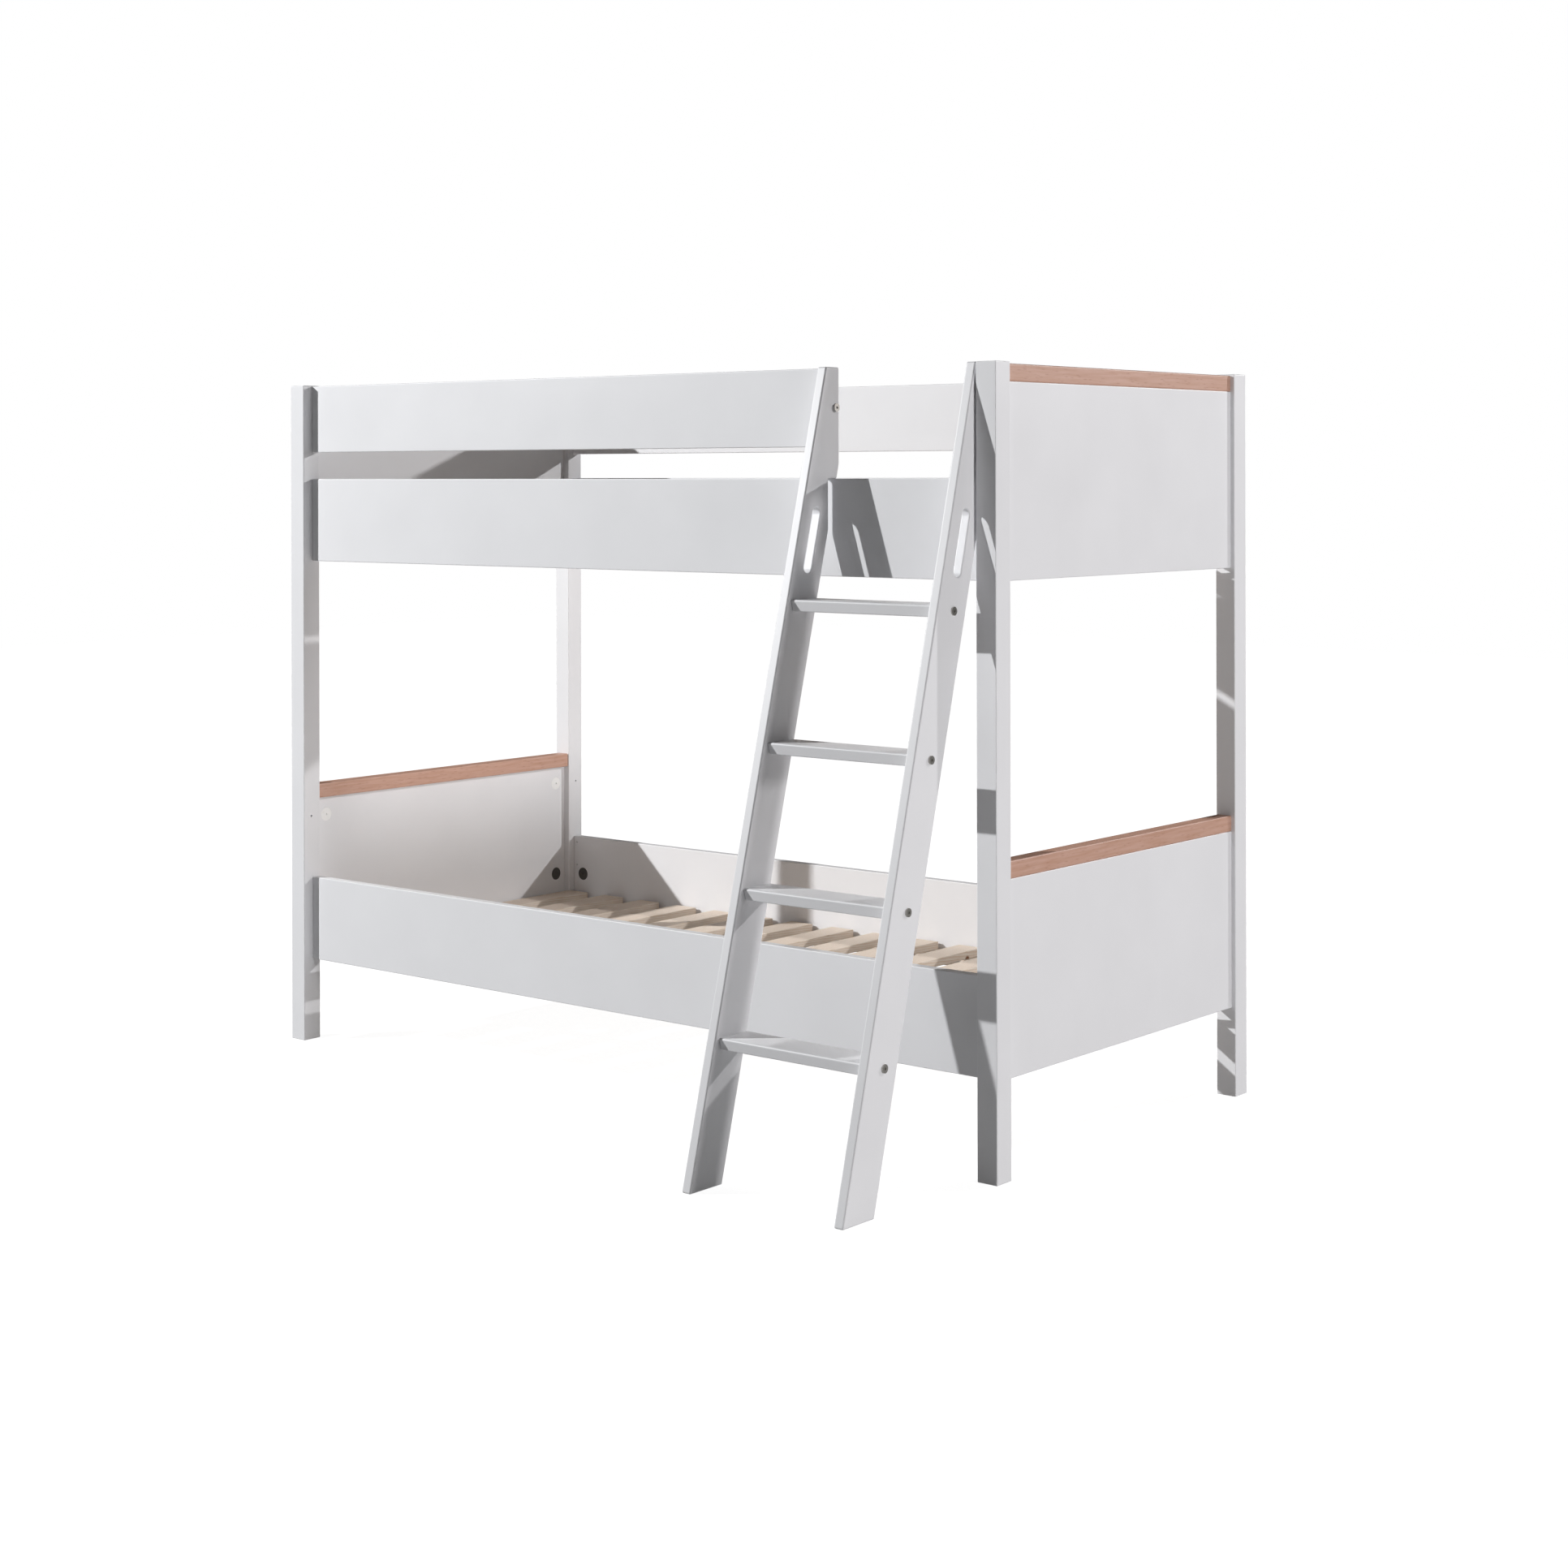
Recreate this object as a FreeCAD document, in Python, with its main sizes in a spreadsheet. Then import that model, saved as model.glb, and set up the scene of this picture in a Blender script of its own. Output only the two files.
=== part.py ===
"""Bunk bed with a leaning ladder, as a parametric FreeCAD document.

Four square posts carry two bunks of side rails and end panels, a guard rail at the front and back
of the upper bunk, and slats on ledger strips. The ladder leans on the front rail and holds the free
end of the front guard. The origin is on the floor under the middle of the whole footprint, ladder
included; X runs along the bed, Y from the ladder side to the back, Z up. Sizes are in millimetres.
"""

import FreeCAD, Part
import math
import os
import Sketcher
from FreeCAD import Placement, Rotation, Vector

doc = FreeCAD.newDocument("bunk_bed")


# ---------------------------------------------------------------------------------------------
# Driving dimensions
# ---------------------------------------------------------------------------------------------

SIZES = {
    "bed_length": 2080,
    "bed_width": 980,
    "post_height": 1596,
    "post_width": 47,
    "post_depth": 50,
    "edge_round": 2,
    "board_thickness": 22,
    # Both bunks have the same rails and end panels, at these heights over the floor.
    "lower_bunk": 196,
    "upper_bunk": 1168,
    "rail_height": 200,
    "front_inset": 27,
    "back_inset": 9,
    "guard_bottom": 1433,
    "guard_height": 161,
    "panel_inset": 9,
    "panel_height": 390,
    "cap_size": 35,
    "cap_round": 3,
    # Slats lie on a ledger strip along each rail; slat_seat is over the rail's lower edge.
    "slat_seat": 35,
    "ledger_thickness": 20,
    "ledger_height": 34,
    "ledger_length": 1960,
    "slat_width": 68,
    "slat_thickness": 18,
    "slat_length": 884,
    "slat_pitch": 129,
    "slat_round": 1.5,
    "tape_width": 20,
    "tape_thickness": 1,
    "tape_setback": 105,
    # The ladder, measured from the front faces of the posts and from the left end of the bed.
    "ladder_reach": 422,
    "ladder_lean": 15,
    "ladder_left": 1638,
    "ladder_clear": 347,
    "stringer_depth": 93,
    "ladder_round": 3.5,
    # The notch stands clear of the rail's face, and the ladder hangs on the rail's top edge.
    "notch_clearance": 14,
    "tread_first": 286,
    "tread_rise": 280,
    "tread_thickness": 24,
    "tread_depth": 86,
    "tread_setback": 8,
    "tread_undercut": 7,
    "handhold_height": 1244,
    "handhold_length": 136,
    "handhold_width": 25,
    # Cam fittings join rails and panels to the posts.
    "cam_diameter": 33,
    "cam_bore": 33.4,
    "cam_depth": 15,
    "cam_setback": 34,
    "cam_low": 102,
    "cam_high": 346,
    "pin_diameter": 8,
    "pin_bore": 8.4,
    "pin_in_post": 20,
    "pin_in_cam": 10,
    # Row holes for accessories, drilled but empty.
    "row_hole": 5,
    "row_hole_depth": 12,
    "row_setback": 11.5,
    "row_low": 123,
    "row_high": 183,
    "post_row_height": 545,
    "post_row_setback": 27,
    # Connector bolts and barrel nuts hold the treads and the guard's free end.
    "bolt_head": 17,
    "bolt_head_height": 3,
    "bolt_socket": 6,
    "bolt_socket_depth": 2.2,
    "bolt_shank": 7,
    "bolt_bore": 7.4,
    "bolt_length": 60,
    "bolt_bore_length": 42,
    "tread_bolt_setback": 42,
    "tread_bolt_drop": 13,
    "nut_diameter": 10,
    "nut_bore": 10.4,
    "nut_length": 14,
    "nut_setback": 28,
    "nut_floor": 4,
    "nut_sunk": 2,
}
SLAT_COUNT = 16
TREAD_COUNT = 4
SOCKET_SIDES = 6

sheet = doc.addObject("Spreadsheet::Sheet", "Sizes")
for row, (alias, value) in enumerate(SIZES.items(), start=1):
    sheet.set(f"A{row}", alias)
    sheet.set(f"B{row}", str(value))
    sheet.setAlias(f"B{row}", alias)
doc.recompute()

# Places that several pieces share, as expressions on the sheet.
LEFT = "(-Sizes.bed_length / 2)"
RIGHT = "(Sizes.bed_length / 2)"
FRONT = "((Sizes.ladder_reach - Sizes.bed_width) / 2)"
BACK = f"({FRONT} + Sizes.bed_width)"
INNER_LEFT = f"({LEFT} + Sizes.post_width)"
INNER_RIGHT = f"({RIGHT} - Sizes.post_width)"
INNER_FRONT = f"({FRONT} + Sizes.post_depth)"
INNER_BACK = f"({BACK} - Sizes.post_depth)"
RAIL_FRONT = f"({FRONT} + Sizes.front_inset + Sizes.board_thickness)"
RAIL_BACK = f"({BACK} - Sizes.back_inset - Sizes.board_thickness)"
SPAN = "(Sizes.bed_length - 2 * Sizes.post_width)"
END_SPAN = "(Sizes.bed_width - 2 * Sizes.post_depth)"
BUNKS = {"lower": "Sizes.lower_bunk", "upper": "Sizes.upper_bunk"}

sub_parts = []


def number(expression):
    """The value of an expression on the sheet, as a plain number."""
    value = sheet.evalExpression(expression)
    return float(getattr(value, "Value", value))


# ---------------------------------------------------------------------------------------------
# Bodies and features
# ---------------------------------------------------------------------------------------------


def place(thing, x, y, z, turn=0, axis=Vector(0, 0, 1)):
    """Turn an object about an axis through its origin and bind its place to the sheet."""
    thing.Placement = Placement(Vector(number(x), number(y), number(z)), Rotation(axis, turn))
    thing.setExpression("Placement.Base.x", x)
    thing.setExpression("Placement.Base.y", y)
    thing.setExpression("Placement.Base.z", z)


def new_body(label):
    body = doc.addObject("PartDesign::Body", label)
    body.Label = label
    sub_parts.append(body)
    return body


def new_sketch(body, name, role, lift="0"):
    """A sketch on one of the body's own origin planes, lifted along the plane's normal."""
    plane = next(p for p in body.Origin.OriginFeatures if p.Role == role)
    sketch = body.newObject("Sketcher::SketchObject", f"{body.Name}_{name}")
    sketch.AttachmentSupport = [(plane, "")]
    sketch.MapMode = "FlatFace"
    sketch.setExpression("AttachmentOffset.Base.z", lift)
    return sketch


def bind_point(sketch, geometry, point, x, y, name):
    """Hold one point of a sketch at two expressions from the sketch's origin."""
    for kind, axis, expression in (("DistanceX", "x", x), ("DistanceY", "y", y)):
        index = sketch.addConstraint(
            Sketcher.Constraint(kind, -1, 1, geometry, point, number(expression))
        )
        sketch.renameConstraint(index, f"{name}_{axis}")
        sketch.setExpression(f"Constraints.{name}_{axis}", expression)


def outline(sketch, corners):
    """A closed outline of straight lines through the given corners."""
    points = [Vector(number(x), number(y), 0) for x, y in corners]
    for start, end in zip(points, points[1:] + points[:1]):
        sketch.addGeometry(Part.LineSegment(start, end))
    last = len(corners) - 1
    for i, (x, y) in enumerate(corners):
        sketch.addConstraint(Sketcher.Constraint("Coincident", i, 2, 0 if i == last else i + 1, 1))
        bind_point(sketch, i, 1, x, y, f"corner{i}")


def circles(sketch, centres, diameter):
    for i, (x, y) in enumerate(centres):
        centre = Vector(number(x), number(y), 0)
        sketch.addGeometry(Part.Circle(centre, Vector(0, 0, 1), number(diameter) / 2))
        bind_point(sketch, i, 3, x, y, f"hole{i}")
        index = sketch.addConstraint(Sketcher.Constraint("Diameter", i, number(diameter)))
        sketch.renameConstraint(index, f"width{i}")
        sketch.setExpression(f"Constraints.width{i}", diameter)


def pad(body, sketch, length):
    feature = body.newObject("PartDesign::Pad", f"{body.Name}_pad")
    feature.Profile = sketch
    feature.setExpression("Length", length)
    sketch.Visibility = False
    return feature


def bore(body, name, role, centres, diameter, depth, lift="0", along_normal=True):
    """Drill flat-bottomed holes from a plane, along its normal or against it."""
    sketch = new_sketch(body, f"{name}_sketch", role, lift)
    circles(sketch, centres, diameter)
    return pocket(body, name, sketch, depth, along_normal)


def pocket(body, name, sketch, depth, along_normal):
    feature = body.newObject("PartDesign::Pocket", f"{body.Name}_{name}")
    feature.Profile = sketch
    feature.setExpression("Length", depth)
    feature.Reversed = along_normal
    sketch.Visibility = False
    return feature


def ease_edges(body, radius):
    """Round every edge of the body's last solid, as a lacquered or sanded board is."""
    base = body.Tip
    doc.recompute()
    feature = body.newObject("PartDesign::Fillet", f"{body.Name}_round")
    feature.Base = (base, [f"Edge{i + 1}" for i in range(len(base.Shape.Edges))])
    feature.setExpression("Radius", radius)


def board(label, role, width, height, thickness, radius="Sizes.edge_round"):
    """A board whose first corner is the body's origin, padded along the plane's normal."""
    body = new_body(label)
    sketch = new_sketch(body, "outline", role)
    outline(sketch, [("0", "0"), (width, "0"), (width, height), ("0", height)])
    pad(body, sketch, thickness)
    ease_edges(body, radius)
    return body


# ---------------------------------------------------------------------------------------------
# Posts: square lacquered uprights. Each body's origin is the corner that faces into the bed.
# ---------------------------------------------------------------------------------------------

POSTS = [
    # label, place, turned half round, post on the +X side of its body origin, rail axis setback
    ("post_front_left", INNER_LEFT, INNER_FRONT, 0, False, "front"),
    ("post_front_right", INNER_RIGHT, INNER_FRONT, 0, True, "front"),
    ("post_back_right", INNER_RIGHT, INNER_BACK, 180, False, "back"),
    ("post_back_left", INNER_LEFT, INNER_BACK, 180, True, "back"),
]
RAIL_AXIS = {
    # How far the middle of a rail's thickness lies behind the post's face on the bed side.
    "front": "(Sizes.post_depth - Sizes.front_inset - Sizes.board_thickness / 2)",
    "back": "(Sizes.post_depth - Sizes.back_inset - Sizes.board_thickness / 2)",
}
RAIL_MIDDLES = {
    "lower": "(Sizes.lower_bunk + Sizes.rail_height / 2)",
    "upper": "(Sizes.upper_bunk + Sizes.rail_height / 2)",
    "guard": "(Sizes.guard_bottom + Sizes.guard_height / 2)",
}
PANEL_PIN_HEIGHTS = [
    f"({bunk} + Sizes.{height})" for bunk in BUNKS.values() for height in ("cam_low", "cam_high")
]
PANEL_AXIS = "(Sizes.post_width - Sizes.panel_inset - Sizes.board_thickness / 2)"

for label, x, y, turn, on_plus_x, side in POSTS:
    body = new_body(label)
    sketch = new_sketch(body, "outline", "XY_Plane")
    near = "0" if on_plus_x else "-Sizes.post_width"
    far = "Sizes.post_width" if on_plus_x else "0"
    outline(sketch, [(near, "-Sizes.post_depth"), (far, "-Sizes.post_depth"), (far, "0"), (near, "0")])
    pad(body, sketch, "Sizes.post_height")
    ease_edges(body, "Sizes.edge_round")
    middles = [RAIL_MIDDLES["lower"], RAIL_MIDDLES["upper"]]
    if label != "post_front_right":
        middles.append(RAIL_MIDDLES["guard"])
    rail_pins = [(f"-{RAIL_AXIS[side]}", middle) for middle in middles]
    bore(body, "rail_pins", "YZ_Plane", rail_pins, "Sizes.pin_bore", "Sizes.pin_in_post",
         along_normal=on_plus_x)
    row = [("-Sizes.post_row_setback", "Sizes.post_row_height")]
    bore(body, "row_hole", "YZ_Plane", row, "Sizes.row_hole", "Sizes.row_hole_depth",
         along_normal=on_plus_x)
    across = PANEL_AXIS if on_plus_x else f"-{PANEL_AXIS}"
    panel_pins = [(across, height) for height in PANEL_PIN_HEIGHTS]
    bore(body, "panel_pins", "XZ_Plane", panel_pins, "Sizes.pin_bore", "Sizes.pin_in_post")
    place(body, x, y, "0", turn)


# ---------------------------------------------------------------------------------------------
# Side rails and guards: boards on edge. The body's origin is on the face towards the mattress.
# ---------------------------------------------------------------------------------------------


def cam_board(label, role, end_role, length, height, cam_heights, ends=(True, True)):
    """A board with cam pockets in its inner face and a pin bore from each end into its cam."""
    body = board(label, role, length, height, "Sizes.board_thickness")
    middle = "Sizes.board_thickness / 2"
    across = f"-{middle}" if end_role == "YZ_Plane" else middle
    near = [("Sizes.cam_setback", height) for height in cam_heights]
    far = [(f"({length} - Sizes.cam_setback)", height) for height in cam_heights]
    pins = [(across, height) for height in cam_heights]
    # The far end lies along +X on a rail, and against the end plane's normal on a panel.
    far_lift = length if end_role == "YZ_Plane" else f"-{length}"
    inwards = end_role == "YZ_Plane"
    if ends[0]:
        bore(body, "near_cams", role, near, "Sizes.cam_bore", "Sizes.cam_depth")
        bore(body, "near_pins", end_role, pins, "Sizes.pin_bore", "Sizes.cam_setback",
             along_normal=inwards)
    if ends[1]:
        bore(body, "far_cams", role, far, "Sizes.cam_bore", "Sizes.cam_depth")
        bore(body, "far_pins", end_role, pins, "Sizes.pin_bore", "Sizes.cam_setback",
             lift=far_lift, along_normal=not inwards)
    return body


for bunk, bottom in BUNKS.items():
    for side, x, y, turn in (
        ("front", INNER_LEFT, RAIL_FRONT, 0),
        ("back", INNER_RIGHT, RAIL_BACK, 180),
    ):
        rail = cam_board(f"rail_{bunk}_{side}", "XZ_Plane", "YZ_Plane", SPAN,
                         "Sizes.rail_height", ["Sizes.rail_height / 2"])
        row = [
            (across, height)
            for across in ("Sizes.row_setback", f"({SPAN} - Sizes.row_setback)")
            for height in ("Sizes.row_low", "Sizes.row_high")
        ]
        bore(rail, "row_holes", "XZ_Plane", row, "Sizes.row_hole", "Sizes.row_hole_depth")
        place(rail, x, y, bottom, turn)

GUARD_FRONT_LENGTH = "(Sizes.ladder_left - Sizes.post_width)"
GUARD_MIDDLE = "Sizes.guard_height / 2"
guard = cam_board("guard_front", "XZ_Plane", "YZ_Plane", GUARD_FRONT_LENGTH,
                  "Sizes.guard_height", [GUARD_MIDDLE], ends=(True, False))
bore(guard, "end_bolt", "YZ_Plane", [("-Sizes.board_thickness / 2", GUARD_MIDDLE)],
     "Sizes.bolt_bore", "Sizes.bolt_bore_length", lift=GUARD_FRONT_LENGTH, along_normal=False)
bore(guard, "end_nut", "XZ_Plane", [(f"({GUARD_FRONT_LENGTH} - Sizes.nut_setback)", GUARD_MIDDLE)],
     "Sizes.nut_bore", "Sizes.board_thickness - Sizes.nut_floor")
place(guard, INNER_LEFT, RAIL_FRONT, "Sizes.guard_bottom")
guard = cam_board("guard_back", "XZ_Plane", "YZ_Plane", SPAN, "Sizes.guard_height", [GUARD_MIDDLE])
place(guard, INNER_RIGHT, RAIL_BACK, "Sizes.guard_bottom", 180)


# ---------------------------------------------------------------------------------------------
# End panels with beech caps, between the posts at each end of each bunk.
# ---------------------------------------------------------------------------------------------

PANEL_FACE = "(Sizes.panel_inset + Sizes.board_thickness)"

for bunk, bottom in BUNKS.items():
    for side, x, y, turn in (
        ("right", f"({RIGHT} - {PANEL_FACE})", INNER_FRONT, 0),
        ("left", f"({LEFT} + {PANEL_FACE})", INNER_BACK, 180),
    ):
        panel = cam_board(f"end_panel_{bunk}_{side}", "YZ_Plane", "XZ_Plane", END_SPAN,
                          "Sizes.panel_height", ["Sizes.cam_low", "Sizes.cam_high"])
        place(panel, x, y, bottom, turn)

    for side, x, y, turn in (
        ("right", f"({RIGHT} - Sizes.panel_inset - Sizes.cap_size)", INNER_BACK, 0),
        ("left", f"({LEFT} + Sizes.panel_inset + Sizes.cap_size)", INNER_FRONT, 180),
    ):
        cap = board(f"beech_cap_{bunk}_{side}", "XZ_Plane", "Sizes.cap_size", "Sizes.cap_size",
                    END_SPAN, "Sizes.cap_round")
        place(cap, x, y, f"{bottom} + Sizes.panel_height", turn)


# ---------------------------------------------------------------------------------------------
# Slat bases: ledger strips along the rails, slats across them, tapes under the slats.
# ---------------------------------------------------------------------------------------------

FIRST_SLAT = f"(-((Sizes.slat_pitch * {SLAT_COUNT - 1}) + Sizes.slat_width) / 2)"
SLAT_FRONT = f"(({RAIL_FRONT} + {RAIL_BACK} - Sizes.slat_length) / 2)"
SLAT_BACK = f"({SLAT_FRONT} + Sizes.slat_length)"

for bunk, bottom in BUNKS.items():
    seat = f"({bottom} + Sizes.slat_seat)"
    for side, y in (
        ("front", RAIL_FRONT),
        ("back", f"({RAIL_BACK} - Sizes.ledger_thickness)"),
    ):
        ledger = board(f"ledger_{bunk}_{side}", "XY_Plane", "Sizes.ledger_length",
                       "Sizes.ledger_thickness", "Sizes.ledger_height", "Sizes.slat_round")
        place(ledger, "-Sizes.ledger_length / 2", y, f"{seat} - Sizes.ledger_height")

    slats = []
    for i in range(SLAT_COUNT):
        slat = board(f"slat_{bunk}_{i + 1:02d}", "XY_Plane", "Sizes.slat_width",
                     "Sizes.slat_length", "Sizes.slat_thickness", "Sizes.slat_round")
        place(slat, f"{FIRST_SLAT} + {i} * Sizes.slat_pitch", SLAT_FRONT, seat)
        slats.append(slat)
    if bunk == "upper":
        group = doc.addObject("Part::Compound", "slats_upper")
        group.Links = slats
        group.Label = "slats_upper"
        sub_parts = [part for part in sub_parts if part not in slats]
        sub_parts.append(group)

    for side, y in (
        ("front", f"({SLAT_FRONT} + Sizes.tape_setback - Sizes.tape_width / 2)"),
        ("back", f"({SLAT_BACK} - Sizes.tape_setback - Sizes.tape_width / 2)"),
    ):
        tape = doc.addObject("Part::Box", f"slat_tape_{bunk}_{side}")
        tape.Label = f"slat_tape_{bunk}_{side}"
        tape.setExpression("Length", f"Sizes.slat_pitch * {SLAT_COUNT - 1} + Sizes.slat_width")
        tape.setExpression("Width", "Sizes.tape_width")
        tape.setExpression("Height", "Sizes.tape_thickness")
        place(tape, FIRST_SLAT, y, f"{seat} - Sizes.tape_thickness")
        sub_parts.append(tape)


# ---------------------------------------------------------------------------------------------
# Ladder: two leaning stringers notched over the front rail, and four treads between them.
# ---------------------------------------------------------------------------------------------

FOOT = f"({FRONT} - Sizes.ladder_reach)"
SLOPE = "tan(Sizes.ladder_lean)"
FOOT_DEPTH = "(Sizes.stringer_depth / cos(Sizes.ladder_lean))"
RAIL_TOP = "(Sizes.upper_bunk + Sizes.rail_height)"
TO_NOTCH = "(Sizes.ladder_reach + Sizes.front_inset - Sizes.notch_clearance)"
TO_GUARD_BACK = "(Sizes.ladder_reach + Sizes.front_inset + Sizes.board_thickness)"
LEFT_STRINGER = f"({LEFT} + Sizes.ladder_left)"
TREAD_LEFT = f"({LEFT_STRINGER} + Sizes.board_thickness)"
RIGHT_STRINGER = f"({TREAD_LEFT} + Sizes.ladder_clear)"
TREAD_TOPS = [f"(Sizes.tread_first + {i} * Sizes.tread_rise)" for i in range(TREAD_COUNT)]
# Each tread's bolt, forward and up from the foot of the ladder.
TREAD_BOLTS = [
    (
        f"({top} * {SLOPE} + Sizes.tread_setback + Sizes.tread_bolt_setback)",
        f"({top} - Sizes.tread_bolt_drop)",
    )
    for top in TREAD_TOPS
]
GUARD_BOLT = (
    "(Sizes.ladder_reach + Sizes.front_inset + Sizes.board_thickness / 2)",
    RAIL_MIDDLES["guard"],
)
STRINGER_OUTLINE = [
    ("0", "0"),
    (FOOT_DEPTH, "0"),
    (TO_NOTCH, f"(({TO_NOTCH} - {FOOT_DEPTH}) / {SLOPE})"),
    (TO_NOTCH, RAIL_TOP),
    (f"({FOOT_DEPTH} + {RAIL_TOP} * {SLOPE})", RAIL_TOP),
    (TO_GUARD_BACK, f"(({TO_GUARD_BACK} - {FOOT_DEPTH}) / {SLOPE})"),
    (TO_GUARD_BACK, "Sizes.post_height"),
    (f"(Sizes.post_height * {SLOPE})", "Sizes.post_height"),
]


def handhold_sketch(body):
    """A slot with round ends, on the stringer's centre line and along its lean."""
    sketch = new_sketch(body, "handhold_sketch", "YZ_Plane")
    half = "((Sizes.handhold_length - Sizes.handhold_width) / 2)"
    middle = (f"(Sizes.handhold_height * {SLOPE} + {FOOT_DEPTH} / 2)", "Sizes.handhold_height")
    top = (
        f"({middle[0]} + {half} * sin(Sizes.ladder_lean))",
        f"({middle[1]} + {half} * cos(Sizes.ladder_lean))",
    )
    bottom = (
        f"({middle[0]} - {half} * sin(Sizes.ladder_lean))",
        f"({middle[1]} - {half} * cos(Sizes.ladder_lean))",
    )
    radius = number("Sizes.handhold_width / 2")
    lean = math.radians(SIZES["ladder_lean"])
    up = Vector(number("sin(Sizes.ladder_lean)"), number("cos(Sizes.ladder_lean)"), 0)
    side = Vector(up.y, -up.x, 0) * radius
    top_point = Vector(number(top[0]), number(top[1]), 0)
    bottom_point = Vector(number(bottom[0]), number(bottom[1]), 0)
    normal = Vector(0, 0, 1)
    top_circle = Part.Circle(top_point, normal, radius)
    bottom_circle = Part.Circle(bottom_point, normal, radius)
    top_arc = Part.ArcOfCircle(top_circle, -lean, math.pi - lean)
    bottom_arc = Part.ArcOfCircle(bottom_circle, math.pi - lean, 2 * math.pi - lean)
    sketch.addGeometry(top_arc)
    sketch.addGeometry(Part.LineSegment(top_point - side, bottom_point - side))
    sketch.addGeometry(bottom_arc)
    sketch.addGeometry(Part.LineSegment(bottom_point + side, top_point + side))
    for first, second in ((0, 1), (1, 2), (2, 3), (3, 0)):
        sketch.addConstraint(Sketcher.Constraint("Tangent", first, 2, second, 1))
    bind_point(sketch, 0, 3, *top, "top")
    bind_point(sketch, 2, 3, *bottom, "bottom")
    index = sketch.addConstraint(Sketcher.Constraint("Radius", 0, radius))
    sketch.renameConstraint(index, "end_radius")
    sketch.setExpression("Constraints.end_radius", "Sizes.handhold_width / 2")
    return sketch


for side, x in (("left", LEFT_STRINGER), ("right", RIGHT_STRINGER)):
    stringer = new_body(f"ladder_stringer_{side}")
    sketch = new_sketch(stringer, "outline", "YZ_Plane")
    outline(sketch, STRINGER_OUTLINE)
    pad(stringer, sketch, "Sizes.board_thickness")
    pocket(stringer, "handhold", handhold_sketch(stringer), "Sizes.board_thickness", True)
    ease_edges(stringer, "Sizes.ladder_round")
    bolts = TREAD_BOLTS + ([GUARD_BOLT] if side == "left" else [])
    bore(stringer, "bolt_holes", "YZ_Plane", bolts, "Sizes.bolt_bore", "Sizes.board_thickness")
    place(stringer, x, FOOT, "0")

for i, top in enumerate(TREAD_TOPS, start=1):
    tread = new_body(f"ladder_tread_{i}")
    sketch = new_sketch(tread, "outline", "YZ_Plane")
    outline(sketch, [
        ("0", "0"),
        ("Sizes.tread_undercut", "-Sizes.tread_thickness"),
        ("Sizes.tread_depth", "-Sizes.tread_thickness"),
        ("Sizes.tread_depth", "0"),
    ])
    pad(tread, sketch, "Sizes.ladder_clear")
    ease_edges(tread, "Sizes.ladder_round")
    bolt = [("Sizes.tread_bolt_setback", "-Sizes.tread_bolt_drop")]
    for name, lift, inwards in (("left", "0", True), ("right", "Sizes.ladder_clear", False)):
        bore(tread, f"{name}_bolt", "YZ_Plane", bolt, "Sizes.bolt_bore", "Sizes.bolt_bore_length",
             lift, inwards)
    nuts = [
        (across, "Sizes.tread_bolt_setback")
        for across in ("Sizes.nut_setback", "(Sizes.ladder_clear - Sizes.nut_setback)")
    ]
    bore(tread, "nuts", "XY_Plane", nuts, "Sizes.nut_bore",
         "Sizes.tread_thickness - Sizes.nut_floor", lift="-Sizes.tread_thickness")
    place(tread, TREAD_LEFT, f"({FOOT} + {top} * {SLOPE} + Sizes.tread_setback)", top)


# ---------------------------------------------------------------------------------------------
# Fasteners. Identical ones share a node as a group of separate solids.
# ---------------------------------------------------------------------------------------------


def cylinder(name, diameter, length, x, y, z, axis=Vector(0, 0, 1), turn=0):
    """A cylinder along +Z before its turn, with its first end at the given place."""
    solid = doc.addObject("Part::Cylinder", name)
    solid.setExpression("Radius", f"{diameter} / 2")
    solid.setExpression("Height", length)
    place(solid, x, y, z, turn, axis)
    return solid


def cut(name, base, tool):
    solid = doc.addObject("Part::Cut", name)
    solid.Base = base
    solid.Tool = tool
    return solid


def group(label, members):
    node = doc.addObject("Part::Compound", label)
    node.Label = label
    node.Links = members
    sub_parts.append(node)


ALONG_X = (Vector(0, 1, 0), 90)
AGAINST_X = (Vector(0, 1, 0), -90)
ALONG_Y = (Vector(1, 0, 0), -90)
AGAINST_Y = (Vector(1, 0, 0), 90)


def shifted(facing, x, y, z, reach):
    """The expressions of a place moved along the way a solid faces."""
    axis, turn = facing
    direction = Rotation(axis, turn).multVec(Vector(0, 0, 1))
    return [f"{base} + {round(part)} * ({reach})" for part, base in zip(direction, (x, y, z))]


def cam(name, facing, x, y, z, pin_facing):
    """A round cam let into a board, with a driver socket and a side bore for its pin."""
    axis, turn = facing
    disc = cylinder(f"{name}_disc", "Sizes.cam_diameter", "Sizes.cam_depth", x, y, z, *facing)
    pin_middle = shifted(facing, x, y, z, "Sizes.cam_depth - Sizes.board_thickness / 2")
    side_bore = cylinder(f"{name}_side_bore", "Sizes.pin_bore", "Sizes.cam_bore / 2",
                         *pin_middle, *pin_facing)
    socket = doc.addObject("Part::Prism", f"{name}_socket")
    socket.Polygon = SOCKET_SIDES
    socket.setExpression("Circumradius", "Sizes.bolt_socket / 2")
    socket.setExpression("Height", "2 * Sizes.bolt_socket_depth")
    # The socket straddles the cam's open face, which is the far end of the disc.
    floor = shifted(facing, x, y, z, "Sizes.cam_depth - Sizes.bolt_socket_depth")
    place(socket, *floor, turn, axis)
    return cut(name, cut(f"{name}_drilled", disc, side_bore), socket)


dark_cams = []
white_cams = []
pins = []
FLOOR_OF_CAM = "(Sizes.board_thickness - Sizes.cam_depth)"
PIN_LENGTH = "(Sizes.pin_in_post + Sizes.cam_setback - Sizes.cam_diameter / 2 + Sizes.pin_in_cam)"

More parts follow.
